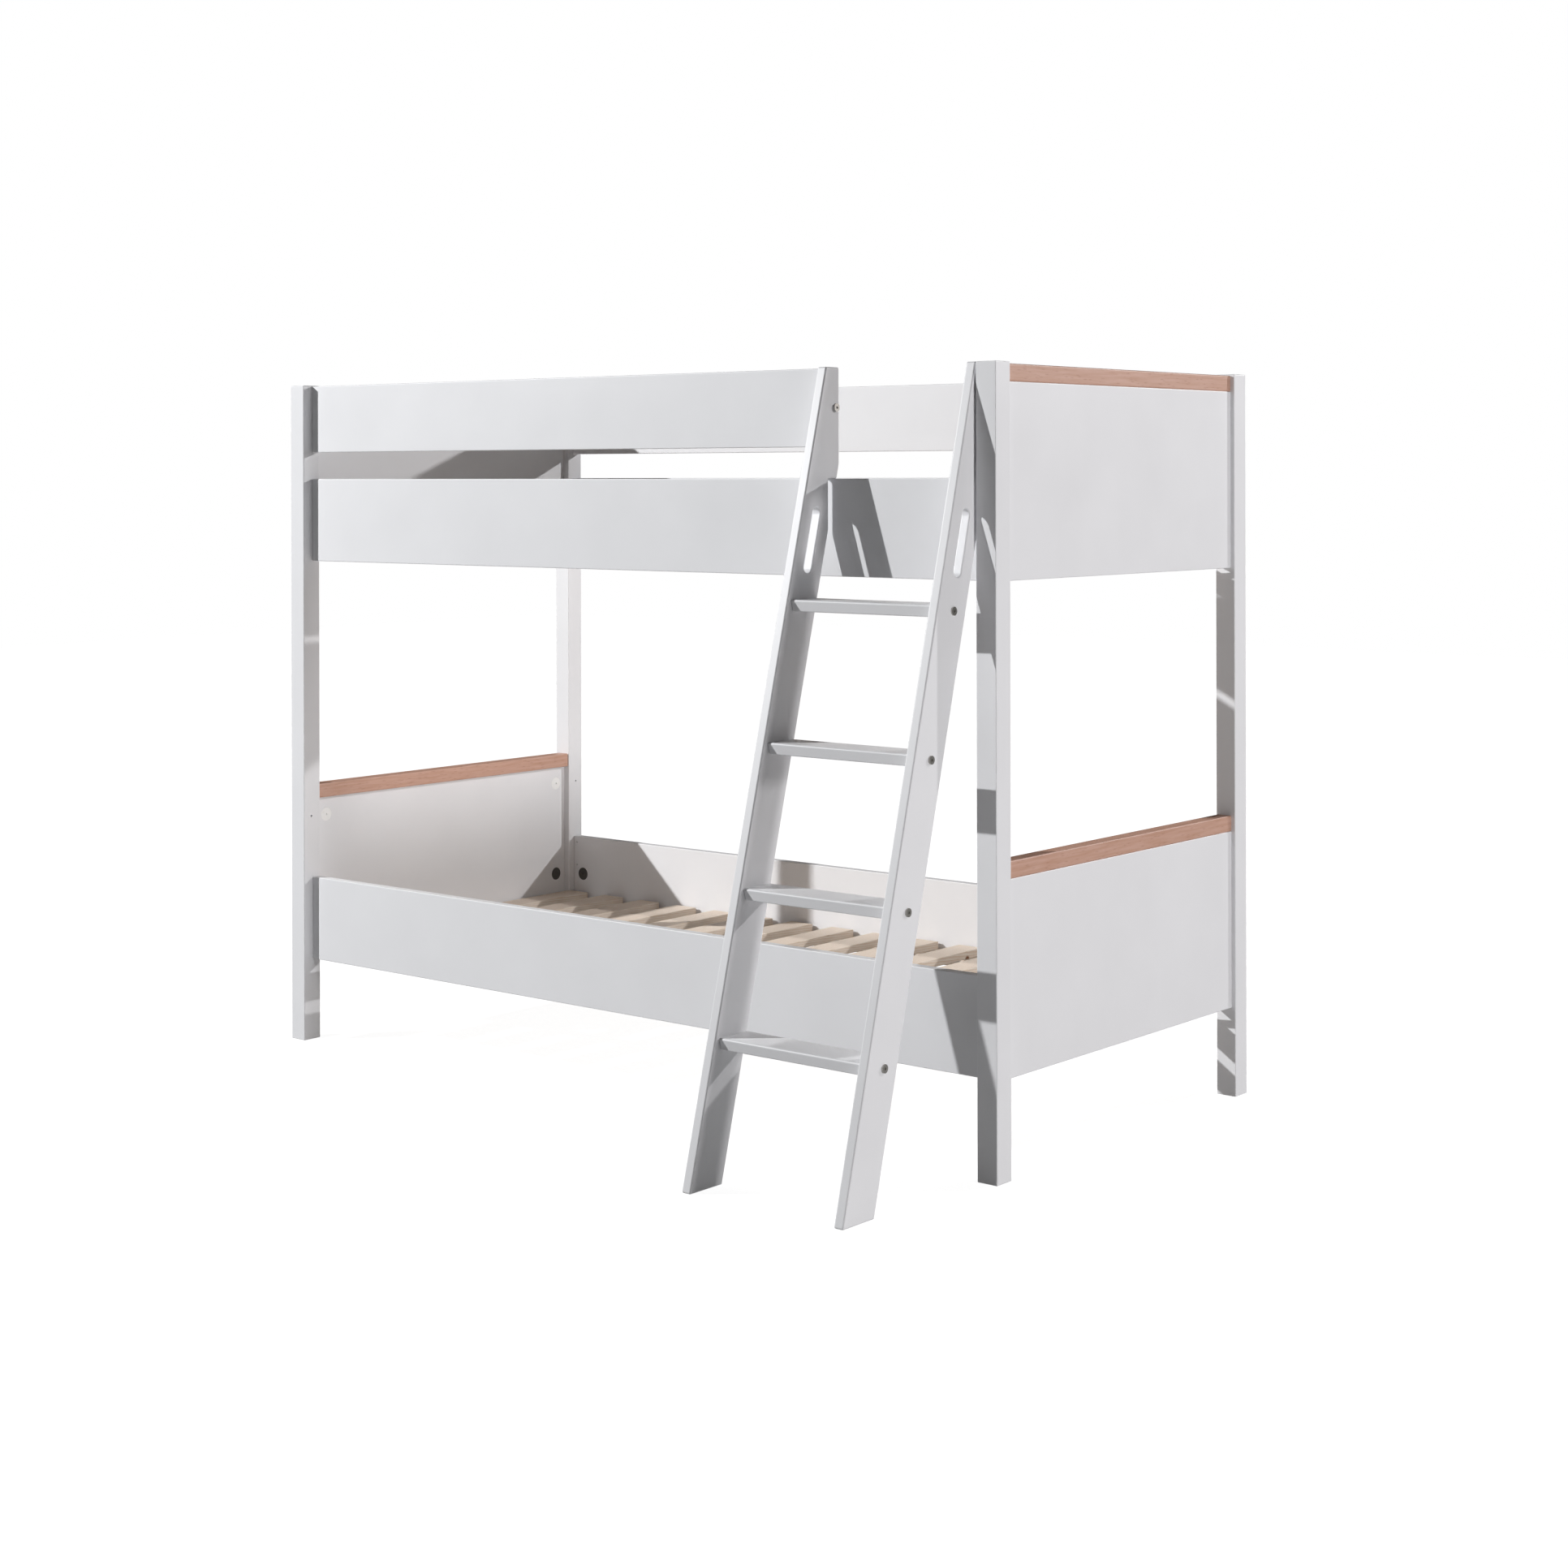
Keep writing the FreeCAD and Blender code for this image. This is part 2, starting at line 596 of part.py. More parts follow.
RAIL_ENDS = [
    (name, side, end)
    for name in ("lower", "upper", "guard")
    for side in ("front", "back")
    for end in ("left", "right")
    if (name, side, end) != ("guard", "front", "right")
]
for name, side, end in RAIL_ENDS:
    z = RAIL_MIDDLES[name]
    at_left = end == "left"
    x = f"({INNER_LEFT} + Sizes.cam_setback)" if at_left else f"({INNER_RIGHT} - Sizes.cam_setback)"
    at_front = side == "front"
    y = (f"({RAIL_FRONT} - Sizes.cam_depth)" if at_front else f"({RAIL_BACK} + Sizes.cam_depth)")
    middle = (f"({RAIL_FRONT} - Sizes.board_thickness / 2)" if at_front
              else f"({RAIL_BACK} + Sizes.board_thickness / 2)")
    towards_post = AGAINST_X if at_left else ALONG_X
    tag = f"rail_{name}_{side}_{end}"
    dark_cams.append(cam(f"cam_{tag}", ALONG_Y if at_front else AGAINST_Y, x, y, z, towards_post))
    start = (f"({INNER_LEFT} - Sizes.pin_in_post)" if at_left
             else f"({INNER_RIGHT} + Sizes.pin_in_post)")
    pins.append(cylinder(f"pin_{tag}", "Sizes.pin_diameter", PIN_LENGTH, start, middle, z,
                         *(ALONG_X if at_left else AGAINST_X)))

for bunk, bottom in BUNKS.items():
    for height in ("cam_low", "cam_high"):
        for end in ("left", "right"):
            for side in ("front", "back"):
                z = f"({bottom} + Sizes.{height})"
                at_left = end == "left"
                at_front = side == "front"
                x = (f"({LEFT} + Sizes.panel_inset + {FLOOR_OF_CAM})" if at_left
                     else f"({RIGHT} - Sizes.panel_inset - {FLOOR_OF_CAM})")
                middle = (f"({LEFT} + Sizes.panel_inset + Sizes.board_thickness / 2)" if at_left
                          else f"({RIGHT} - Sizes.panel_inset - Sizes.board_thickness / 2)")
                y = (f"({INNER_FRONT} + Sizes.cam_setback)" if at_front
                     else f"({INNER_BACK} - Sizes.cam_setback)")
                towards_post = AGAINST_Y if at_front else ALONG_Y
                tag = f"panel_{bunk}_{height}_{end}_{side}"
                made = cam(f"cam_{tag}", ALONG_X if at_left else AGAINST_X, x, y, z, towards_post)
                (dark_cams if height == "cam_low" else white_cams).append(made)
                start = (f"({INNER_FRONT} - Sizes.pin_in_post)" if at_front
                         else f"({INNER_BACK} + Sizes.pin_in_post)")
                pins.append(cylinder(f"pin_{tag}", "Sizes.pin_diameter", PIN_LENGTH, middle, start,
                                     z, *(ALONG_Y if at_front else AGAINST_Y)))

group("cam_locks_dark", dark_cams)
group("cam_locks_white", white_cams)
group("cam_pins", pins)


def connector_bolt(name, facing, x, y, z):
    """A flat-headed connector bolt: the head lies on the stringer, the shank runs into the joint."""
    shank = cylinder(f"{name}_shank", "Sizes.bolt_shank", "Sizes.bolt_length", x, y, z, *facing)
    axis, turn = facing
    sign = round(Rotation(axis, turn).multVec(Vector(0, 0, 1)).x)
    head = cylinder(f"{name}_head", "Sizes.bolt_head", "Sizes.bolt_head_height",
                    f"{x} - {sign} * Sizes.bolt_head_height", y, z, *facing)
    joined = doc.addObject("Part::Fuse", f"{name}_joined")
    joined.Base = shank
    joined.Tool = head
    socket = doc.addObject("Part::Prism", f"{name}_socket")
    socket.Polygon = SOCKET_SIDES
    socket.setExpression("Circumradius", "Sizes.bolt_socket / 2")
    socket.setExpression("Height", "2 * Sizes.bolt_socket_depth")
    reach = "(Sizes.bolt_head_height + Sizes.bolt_socket_depth)"
    place(socket, f"{x} - {sign} * {reach}", y, z, turn, axis)
    return cut(name, joined, socket)


bolts = []
nuts = []
STRINGER_OUTSIDE = {"left": LEFT_STRINGER, "right": f"({RIGHT_STRINGER} + Sizes.board_thickness)"}
for i, (forward, height) in enumerate(TREAD_BOLTS, start=1):
    y = f"({FOOT} + {forward})"
    for side, facing in (("left", ALONG_X), ("right", AGAINST_X)):
        bolts.append(connector_bolt(f"bolt_{side}_{i}", facing, STRINGER_OUTSIDE[side], y, height))
        x = (f"({TREAD_LEFT} + Sizes.nut_setback)" if side == "left"
             else f"({RIGHT_STRINGER} - Sizes.nut_setback)")
        top = TREAD_TOPS[i - 1]
        nut = cylinder(f"nut_{side}_{i}", "Sizes.nut_diameter", "Sizes.nut_length", x, y,
                       f"({top} - Sizes.tread_thickness + Sizes.nut_sunk)")
        drill = cylinder(f"nut_drill_{side}_{i}", "Sizes.bolt_bore", "2 * Sizes.nut_diameter",
                         f"({x} - Sizes.nut_diameter)", y, height, *ALONG_X)
        nuts.append(cut(f"drilled_nut_{side}_{i}", nut, drill))

guard_y = f"({FOOT} + {GUARD_BOLT[0]})"
guard_bolt = connector_bolt("guard_bolt_solid", AGAINST_X, TREAD_LEFT, guard_y, GUARD_BOLT[1])
guard_nut = cylinder("guard_nut_solid", "Sizes.nut_diameter", "Sizes.nut_length",
                     f"({LEFT_STRINGER} - Sizes.nut_setback)", f"({RAIL_FRONT} - Sizes.nut_sunk)",
                     GUARD_BOLT[1], *AGAINST_Y)
guard_drill = cylinder("guard_nut_drill", "Sizes.bolt_bore", "2 * Sizes.nut_diameter",
                       f"({LEFT_STRINGER} - Sizes.nut_setback - Sizes.nut_diameter)", guard_y,
                       GUARD_BOLT[1], *ALONG_X)

group("ladder_tread_bolts", bolts)
group("ladder_barrel_nuts", nuts)
group("guard_end_bolt", [guard_bolt])
group("guard_end_nut", [cut("guard_nut_drilled", guard_nut, guard_drill)])


# ---------------------------------------------------------------------------------------------
# Checks and files
# ---------------------------------------------------------------------------------------------

doc.recompute()

for thing in doc.Objects:
    failed = [state for state in thing.State if state in ("Invalid", "Error")]
    if failed:
        raise RuntimeError(f"{thing.Name} is {failed}")
    if thing.TypeId == "PartDesign::Pocket" and thing.Shape.Volume >= thing.BaseFeature.Shape.Volume:
        raise RuntimeError(f"{thing.Name} cuts nothing")

os.makedirs("parts", exist_ok=True)
for part in sub_parts:
    if part.Shape.isNull() or not part.Shape.isValid():
        raise RuntimeError(f"{part.Label} has no valid shape")

for part in sub_parts:
    part.Shape.exportStep(os.path.join("parts", f"{part.Label}.step"))

print(len(sub_parts), "sub-parts")
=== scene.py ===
import math

import bmesh
import bpy
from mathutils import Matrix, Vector


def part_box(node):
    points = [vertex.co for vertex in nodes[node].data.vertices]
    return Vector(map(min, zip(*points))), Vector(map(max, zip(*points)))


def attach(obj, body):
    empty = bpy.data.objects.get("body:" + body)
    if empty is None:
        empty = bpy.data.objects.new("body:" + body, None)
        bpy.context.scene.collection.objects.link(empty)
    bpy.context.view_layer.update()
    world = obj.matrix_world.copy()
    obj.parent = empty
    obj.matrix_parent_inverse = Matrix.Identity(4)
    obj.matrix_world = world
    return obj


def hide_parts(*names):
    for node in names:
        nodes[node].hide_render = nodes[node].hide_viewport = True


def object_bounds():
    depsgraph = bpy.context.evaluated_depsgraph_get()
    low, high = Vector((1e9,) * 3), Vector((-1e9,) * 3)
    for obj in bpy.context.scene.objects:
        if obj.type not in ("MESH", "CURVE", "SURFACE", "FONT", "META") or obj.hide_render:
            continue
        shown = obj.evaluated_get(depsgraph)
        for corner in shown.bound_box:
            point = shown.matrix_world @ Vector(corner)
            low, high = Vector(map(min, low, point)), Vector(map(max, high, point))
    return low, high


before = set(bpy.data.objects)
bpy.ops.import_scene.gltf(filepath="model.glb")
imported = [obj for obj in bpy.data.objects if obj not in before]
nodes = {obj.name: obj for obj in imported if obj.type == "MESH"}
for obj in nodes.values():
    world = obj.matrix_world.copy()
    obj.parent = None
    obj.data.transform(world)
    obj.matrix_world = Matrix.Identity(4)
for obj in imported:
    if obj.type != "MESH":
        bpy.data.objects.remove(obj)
cad_low, cad_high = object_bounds()


# Camera. A long lens, level, 1.4 m over the floor and off the right-hand
# corner of the ladder side. The shift lowers the view to the bed and keeps
# the posts upright.
LENS_MM = 59.311
SENSOR_MM = 36
camera_data = bpy.data.cameras.new("studio_camera")
camera_data.sensor_width = SENSOR_MM
camera_data.lens = LENS_MM
camera_data.shift_x = 0.02467
camera_data.shift_y = -0.1973
camera_data.clip_start = 0.1
camera_data.clip_end = 60
camera = bpy.data.objects.new("studio_camera", camera_data)
camera.location = (3.86779, -4.41941, 1.37654)
camera.rotation_euler = (math.radians(90), math.radians(0.118), math.radians(39.871))
bpy.context.scene.collection.objects.link(camera)
bpy.context.scene.camera = camera
bpy.context.scene.view_settings.view_transform = "Standard"


# Studio light. A key lamp at the front left throws the ladder's shadow on
# the long side, a lamp behind the right-hand end lights the end panels from
# the back, and a wide softbox low beside that end fills them from the side.
def add_node(tree, kind, settings=None, sockets=None):
    """Adds a node, sets it, and fills its sockets or links them to another's."""
    made = tree.nodes.new(kind)
    for name, value in (settings or {}).items():
        setattr(made, name, value)
    for name, value in (sockets or {}).items():
        if isinstance(value, bpy.types.NodeSocket):
            tree.links.new(value, made.inputs[name])
        else:
            made.inputs[name].default_value = value
    return made


def hang_lamp(name, place, power, width, tint):
    """Hangs a round lamp and turns it to the bed, with light that fades slowly."""
    lamp = bpy.data.lights.new(name, "AREA")
    lamp.shape = "DISK"
    lamp.size = width
    lamp.energy = power
    lamp.color = tint
    lamp.use_nodes = True
    lamp.node_tree.nodes.clear()
    aim = (cad_low + cad_high) / 2 - Vector(place)
    fade = add_node(
        lamp.node_tree, "ShaderNodeLightFalloff", sockets={"Strength": 1 / aim.length}
    )
    shine = add_node(
        lamp.node_tree, "ShaderNodeEmission", sockets={"Strength": fade.outputs["Linear"]}
    )
    add_node(
        lamp.node_tree, "ShaderNodeOutputLight", sockets={"Surface": shine.outputs["Emission"]}
    )
    held = bpy.data.objects.new(name, lamp)
    held.location = place
    held.rotation_euler = aim.to_track_quat("-Z", "Y").to_euler()
    held.visible_camera = False
    bpy.context.scene.collection.objects.link(held)


hang_lamp("key_lamp", (-4.254, -4.029, 3.676), 424, 0.10, (0.985, 0.993, 1.0))
hang_lamp("back_lamp", (2.66, 3.72, 2.78), 108, 0.10, (1.0, 0.99, 0.995))
hang_lamp("side_softbox", (6.0, -0.30, 0.95), 158, 0.80, (1.0, 0.985, 0.99))


# Room and floor. White paper sweep: the room fills the shadows softly, and
# the pale floor sends some light back up under the bunks.
def linear(hex_colour):
    """Turns an sRGB hex colour into linear red, green, blue and alpha."""
    shares = [int(hex_colour[i : i + 2], 16) / 255 for i in (1, 3, 5)]
    curve = [s / 12.92 if s <= 0.04045 else ((s + 0.055) / 1.055) ** 2.4 for s in shares]
    return (*curve, 1.0)


ROOM_FILL = 0.01
room = bpy.data.worlds.new("white_room")
room.use_nodes = True
room.node_tree.nodes.clear()
eye_ray = add_node(room.node_tree, "ShaderNodeLightPath")
fill = add_node(
    room.node_tree,
    "ShaderNodeBackground",
    sockets={"Color": linear("#ffffff"), "Strength": ROOM_FILL},
)
wall = add_node(
    room.node_tree,
    "ShaderNodeBackground",
    sockets={"Color": linear("#ffffff"), "Strength": 1.0},
)
both = add_node(
    room.node_tree,
    "ShaderNodeMixShader",
    sockets={
        0: eye_ray.outputs["Is Camera Ray"],
        1: fill.outputs["Background"],
        2: wall.outputs["Background"],
    },
)
add_node(room.node_tree, "ShaderNodeOutputWorld", sockets={"Surface": both.outputs[0]})
bpy.context.scene.world = room

# The camera sees the paper nearly white all over, and the bed gets its bounce.
FLOOR_HALF = 14.0
FLOOR_BOUNCE = 0.16
FLOOR_BRIGHT = 0.94
FADE_FROM = 1.2
FADE_TO = 3.0
floor_mesh = bmesh.new()
bmesh.ops.create_grid(floor_mesh, x_segments=1, y_segments=1, size=FLOOR_HALF)
floor_data = bpy.data.meshes.new("studio_floor")
floor_mesh.to_mesh(floor_data)
floor_mesh.free()
studio_floor = bpy.data.objects.new("studio_floor", floor_data)
bpy.context.scene.collection.objects.link(studio_floor)
paper = bpy.data.materials.new("matt_white_paper_sweep")
paper.use_nodes = True
tree = paper.node_tree
tree.nodes.clear()
floor_place = add_node(tree, "ShaderNodeTexCoord")
away = add_node(
    tree, "ShaderNodeVectorMath", {"operation": "LENGTH"}, {0: floor_place.outputs["Object"]}
)
fade = add_node(
    tree,
    "ShaderNodeMapRange",
    {"interpolation_type": "SMOOTHSTEP"},
    {
        "Value": away.outputs["Value"],
        "From Min": FADE_FROM,
        "From Max": FADE_TO,
        "To Min": FLOOR_BRIGHT,
        "To Max": 1.0,
    },
)
eye_ray = add_node(tree, "ShaderNodeLightPath")
glow_strength = add_node(
    tree,
    "ShaderNodeMix",
    {"data_type": "FLOAT"},
    {0: eye_ray.outputs["Is Camera Ray"], 2: FLOOR_BOUNCE, 3: fade.outputs["Result"]},
)
glow = add_node(
    tree,
    "ShaderNodeEmission",
    sockets={"Color": linear("#ffffff"), "Strength": glow_strength.outputs[0]},
)
dull = add_node(tree, "ShaderNodeBsdfDiffuse", sockets={"Color": linear("#8a8a8a")})
lit = add_node(tree, "ShaderNodeAddShader", sockets={0: dull.outputs[0], 1: glow.outputs[0]})
add_node(tree, "ShaderNodeOutputMaterial", sockets={"Surface": lit.outputs[0]})
floor_data.materials.append(paper)


# White boards. Posts, rails, guards, end panels and the ladder are boards
# and squared timber sprayed with white satin lacquer and left smooth.
# Lacquer: satin, so a wide soft gloss; a faint orange peel 1.5 mm across.
LACQUER = "#eeeef0"
LACQUER_THIN = "#ebebed"
PEEL = 0.0015
CLOUD = 0.18


def new_material(name):
    """A material with an empty node tree, and its object coordinates."""
    made = bpy.data.materials.new(name)
    made.use_nodes = True
    made.node_tree.nodes.clear()
    where = add_node(made.node_tree, "ShaderNodeTexCoord")
    return made, made.node_tree, where.outputs["Object"]


def finish_surface(tree, sockets):
    """Ends a material in one Principled shader with these sockets."""
    shader = add_node(tree, "ShaderNodeBsdfPrincipled", sockets=sockets)
    add_node(tree, "ShaderNodeOutputMaterial", sockets={"Surface": shader.outputs["BSDF"]})


def coat(names, material):
    """Puts a material on every CAD node named."""
    for name in names:
        nodes[name].material_slots[0].material = material


lacquer, tree, place = new_material("white_satin_lacquer")
cloud = add_node(
    tree,
    "ShaderNodeTexNoise",
    sockets={"Vector": place, "Scale": 1 / CLOUD, "Detail": 3.0, "Roughness": 0.5},
)
thick = add_node(
    tree,
    "ShaderNodeMapRange",
    sockets={"Value": cloud.outputs["Fac"], "From Min": 0.3, "From Max": 0.7},
)
tone = add_node(
    tree,
    "ShaderNodeMix",
    {"data_type": "RGBA"},
    {0: thick.outputs["Result"], 6: linear(LACQUER_THIN), 7: linear(LACQUER)},
)
satin = add_node(
    tree,
    "ShaderNodeMapRange",
    sockets={"Value": cloud.outputs["Fac"], "To Min": 0.36, "To Max": 0.46},
)
peel = add_node(
    tree,
    "ShaderNodeTexNoise",
    sockets={"Vector": place, "Scale": 1 / PEEL, "Detail": 2.0},
)
skin = add_node(
    tree,
    "ShaderNodeBump",
    sockets={"Strength": 0.08, "Distance": 0.0002, "Height": peel.outputs["Fac"]},
)
finish_surface(
    tree,
    {
        "Base Color": tone.outputs[2],
        "Roughness": satin.outputs["Result"],
        "IOR": 1.5,
        "Normal": skin.outputs["Normal"],
    },
)
BOARDS = ("post_", "rail_", "guard_front", "guard_back", "end_panel_", "ladder_stringer_")
coat([n for n in nodes if n.startswith(BOARDS)], lacquer)
coat([f"ladder_tread_{step}" for step in (1, 2, 3, 4)], lacquer)


# Beech caps. Solid beech lipping, 35 mm square, glued on each end panel and
# clear lacquered: pinkish brown, with the short darker flecks of its rays.
# Grain runs along the cap, across the bed.
BEECH_LIGHT = "#cda594"
BEECH_DARK = "#c0957f"
BEECH_FLECK = "#a87a66"
BEECH_GRAIN = 0.006
FLECK_WIDTH = 0.0016
beech, tree, place = new_material("clear_lacquered_beech")
stretch = add_node(
    tree, "ShaderNodeMapping", sockets={"Vector": place, "Scale": (1.0, 0.06, 1.0)}
)
grain = add_node(
    tree,
    "ShaderNodeTexNoise",
    sockets={
        "Vector": stretch.outputs["Vector"],
        "Scale": 1 / BEECH_GRAIN,
        "Detail": 4.0,
        "Distortion": 0.4,
    },
)
board = add_node(
    tree,
    "ShaderNodeMapRange",
    sockets={"Value": grain.outputs["Fac"], "From Min": 0.3, "From Max": 0.7},
)
heart = add_node(
    tree,
    "ShaderNodeMix",
    {"data_type": "RGBA"},
    {0: board.outputs["Result"], 6: linear(BEECH_DARK), 7: linear(BEECH_LIGHT)},
)
short = add_node(
    tree, "ShaderNodeMapping", sockets={"Vector": place, "Scale": (1.0, 0.16, 1.0)}
)
rays = add_node(
    tree,
    "ShaderNodeTexVoronoi",
    sockets={"Vector": short.outputs["Vector"], "Scale": 1 / (3 * FLECK_WIDTH)},
)
flecks = add_node(
    tree,
    "ShaderNodeMapRange",
    sockets={
        "Value": rays.outputs["Distance"],
        "From Min": 0.10,
        "From Max": 0.30,
        "To Min": 0.45,
        "To Max": 0.0,
    },
)
figured = add_node(
    tree,
    "ShaderNodeMix",
    {"data_type": "RGBA"},
    {0: flecks.outputs["Result"], 6: heart.outputs[2], 7: linear(BEECH_FLECK)},
)
pores = add_node(
    tree,
    "ShaderNodeBump",
    sockets={"Strength": 0.2, "Distance": 0.0003, "Height": grain.outputs["Fac"]},
)
beech_sheen = add_node(
    tree,
    "ShaderNodeMapRange",
    sockets={"Value": grain.outputs["Fac"], "To Min": 0.42, "To Max": 0.54},
)
finish_surface(
    tree,
    {
        "Base Color": figured.outputs[2],
        "Roughness": beech_sheen.outputs["Result"],
        "IOR": 1.5,
        "Normal": pores.outputs["Normal"],
    },
)
coat([n for n in nodes if n.startswith("beech_cap_")], beech)


# Slats and ledgers. Planed bare pine: 16 slats to a bunk, 68 x 18 mm, lie
# across on two 20 mm ledgers that are screwed inside the rails. Pine is
# matt and pale, with year rings 5 mm apart and small brown knots.
PINE_EARLY = "#f6ece1"
PINE_LATE = "#e0cab3"
PINE_KNOT = "#8a5a3a"
RING = 0.005
KNOT = 0.007
KNOT_APART = 0.16
WANDER = (0.02, 0.02, 0.02)
# A wave repeats every WAVE_TURN / scale metres, or twice that on a diagonal.
WAVE_TURN = 0.314


def pine_material(name, along):
    """Bare pine whose grain runs on the axis that the scale draws out."""
    made, tree, place = new_material(name)
    wander = add_node(
        tree, "ShaderNodeMapping", sockets={"Vector": place, "Scale": along}
    )
    drift = add_node(
        tree,
        "ShaderNodeTexNoise",
        sockets={"Vector": wander.outputs["Vector"], "Scale": 14.0, "Detail": 2.0},
    )
    bent = add_node(
        tree,
        "ShaderNodeVectorMath",
        {"operation": "MULTIPLY_ADD"},
        {0: drift.outputs["Color"], 1: WANDER, 2: wander.outputs["Vector"]},
    )
    knots = add_node(
        tree,
        "ShaderNodeTexVoronoi",
        sockets={"Vector": place, "Scale": 1 / KNOT_APART},
    )
    knot_near = add_node(
        tree,
        "ShaderNodeMapRange",
        {"interpolation_type": "SMOOTHSTEP"},
        {
            "Value": knots.outputs["Distance"],
            "From Min": KNOT / KNOT_APART,
            "From Max": 1.7 * KNOT / KNOT_APART,
            "To Min": 1.0,
            "To Max": 0.0,
        },
    )
    rings = add_node(
        tree,
        "ShaderNodeTexWave",
        {"bands_direction": "DIAGONAL", "wave_profile": "SAW"},
        {
            "Vector": bent.outputs["Vector"],
            "Scale": 2 * WAVE_TURN / RING,
            "Distortion": 2.6,
            "Detail": 3.0,
            "Detail Scale": 1.2,
        },
    )
    plank = add_node(
        tree,
        "ShaderNodeMix",
        {"data_type": "RGBA"},
        {0: rings.outputs["Fac"], 6: linear(PINE_EARLY), 7: linear(PINE_LATE)},
    )
    knotted = add_node(
        tree,
        "ShaderNodeMix",
        {"data_type": "RGBA"},
        {0: knot_near.outputs["Result"], 6: plank.outputs[2], 7: linear(PINE_KNOT)},
    )
    ridges = add_node(
        tree,
        "ShaderNodeBump",
        sockets={"Strength": 0.08, "Distance": 0.0002, "Height": rings.outputs["Fac"]},
    )
    dry = add_node(
        tree,
        "ShaderNodeMapRange",
        sockets={"Value": rings.outputs["Fac"], "To Min": 0.66, "To Max": 0.52},
    )
    finish_surface(
        tree,
        {
            "Base Color": knotted.outputs[2],
            "Roughness": dry.outputs["Result"],
            "IOR": 1.45,
            "Normal": ridges.outputs["Normal"],
        },
    )
    return made


slat_pine = pine_material("planed_pine_slats", (1.0, 0.05, 1.0))
ledger_pine = pine_material("planed_pine_ledgers", (0.05, 1.0, 1.0))
coat([n for n in nodes if n.startswith("slat") and "tape" not in n], slat_pine)
coat([n for n in nodes if n.startswith("ledger_")], ledger_pine)


# Slat tapes. Two woven cotton tapes, 20 mm wide, run under each bunk's slats
# and keep them at their spacing. Each is stapled up to every slat and hangs
# a little between them. Cotton: dull, soft-edged, with crossing threads.
TAPE_WHITE = "#f4f2ed"
# TAPE_SHADE is a painted shade for the hollows between the crossing threads.
TAPE_SHADE = "#dbd8d1"
TAPE_SLUB = "#f0ede7"
TAPE_THICK = 0.0009
TAPE_SAG = 0.0022
# The cut length: 15 pitches and one slat's width, with the slack of the 15 gaps.
# Threads are drawn 1.2 mm apart, about twice their real spacing, so that they show.
THREAD = 0.0012
SLATS = 16
SLAT_WIDE = 0.068
STEPS_PER_SLAT = 12

cotton, tree, place = new_material("woven_cotton_tape")
warp = add_node(
    tree,
    "ShaderNodeTexWave",
    {"bands_direction": "Y"},
    {"Vector": place, "Scale": WAVE_TURN / THREAD, "Distortion": 0.3},
)
weft = add_node(
    tree,
    "ShaderNodeTexWave",
    {"bands_direction": "X"},
    {"Vector": place, "Scale": WAVE_TURN / THREAD, "Distortion": 0.3},
)
weave = add_node(
    tree,
    "ShaderNodeMath",
    {"operation": "MULTIPLY"},
    {0: warp.outputs["Fac"], 1: weft.outputs["Fac"]},
)
slub = add_node(
    tree,
    "ShaderNodeTexNoise",
    sockets={"Vector": place, "Scale": 1 / (6 * THREAD), "Detail": 3.0},
)
# The weave is coloured as well as bumped: the hollows between crossing threads get TAPE_SHADE,
# a painted shade, and the thread crowns get the full white.
threads_painted_shade = add_node(
    tree,
    "ShaderNodeMix",
    {"data_type": "RGBA"},
    {0: weave.outputs["Value"], 6: linear(TAPE_SHADE), 7: linear(TAPE_WHITE)},
)
slubbed = add_node(
    tree,
    "ShaderNodeMix",
    {"data_type": "RGBA", "blend_type": "MULTIPLY"},
    {0: slub.outputs["Fac"], 6: threads_painted_shade.outputs[2], 7: linear(TAPE_SLUB)},
)
woven = add_node(
    tree,
    "ShaderNodeBump",
    sockets={"Strength": 0.5, "Distance": 0.0003, "Height": weave.outputs["Value"]},
)
nap = add_node(
    tree,
    "ShaderNodeMapRange",
    sockets={"Value": slub.outputs["Fac"], "To Min": 0.82, "To Max": 0.96},
)
finish_surface(
    tree,
    {
        "Base Color": slubbed.outputs[2],
        "Roughness": nap.outputs["Result"],
        "IOR": 1.5,
        "Sheen Weight": 0.25,
        "Sheen Roughness": 0.5,
        "Normal": woven.outputs["Normal"],
    },
)


def new_piece(name, shape, material):
    """Makes an object of a finished shape, gives it its material, and rides it."""
    shape.normal_update()
    data = bpy.data.meshes.new(name)
    shape.to_mesh(data)
    shape.free()
    data.materials.append(material)
    piece = bpy.data.objects.new(name, data)
    bpy.context.scene.collection.objects.link(piece)
    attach(piece, "root")
    return piece


def slat_gap(x, first, pitch):
    """How far x lies across the gap after its slat: 0 under a slat, up to 1."""
    along = (x - first) % pitch
    return max(0.0, (along - SLAT_WIDE) / (pitch - SLAT_WIDE))


def lay_tape(node):
    """One tape where its CAD solid lies, flat under the slats and slack between."""
    low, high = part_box(node)
    pitch = (high.x - low.x - SLAT_WIDE) / (SLATS - 1)
    shape = bmesh.new()
    bmesh.ops.create_grid(shape, x_segments=SLATS * STEPS_PER_SLAT, y_segments=4, size=0.5)
    size = Vector((high.x - low.x, high.y - low.y, 1))
    bmesh.ops.scale(shape, vec=size, verts=shape.verts)
    middle = Vector(((low.x + high.x) / 2, (low.y + high.y) / 2, high.z))
    bmesh.ops.translate(shape, vec=middle, verts=shape.verts)
    for vert in shape.verts:
        sag = TAPE_SAG * math.sin(math.pi * slat_gap(vert.co.x, low.x, pitch))
        vert.co.z -= sag
    bmesh.ops.reverse_faces(shape, faces=shape.faces)
    bmesh.ops.solidify(shape, geom=shape.faces, thickness=-TAPE_THICK)
    bmesh.ops.recalc_face_normals(shape, faces=shape.faces)
    return shape


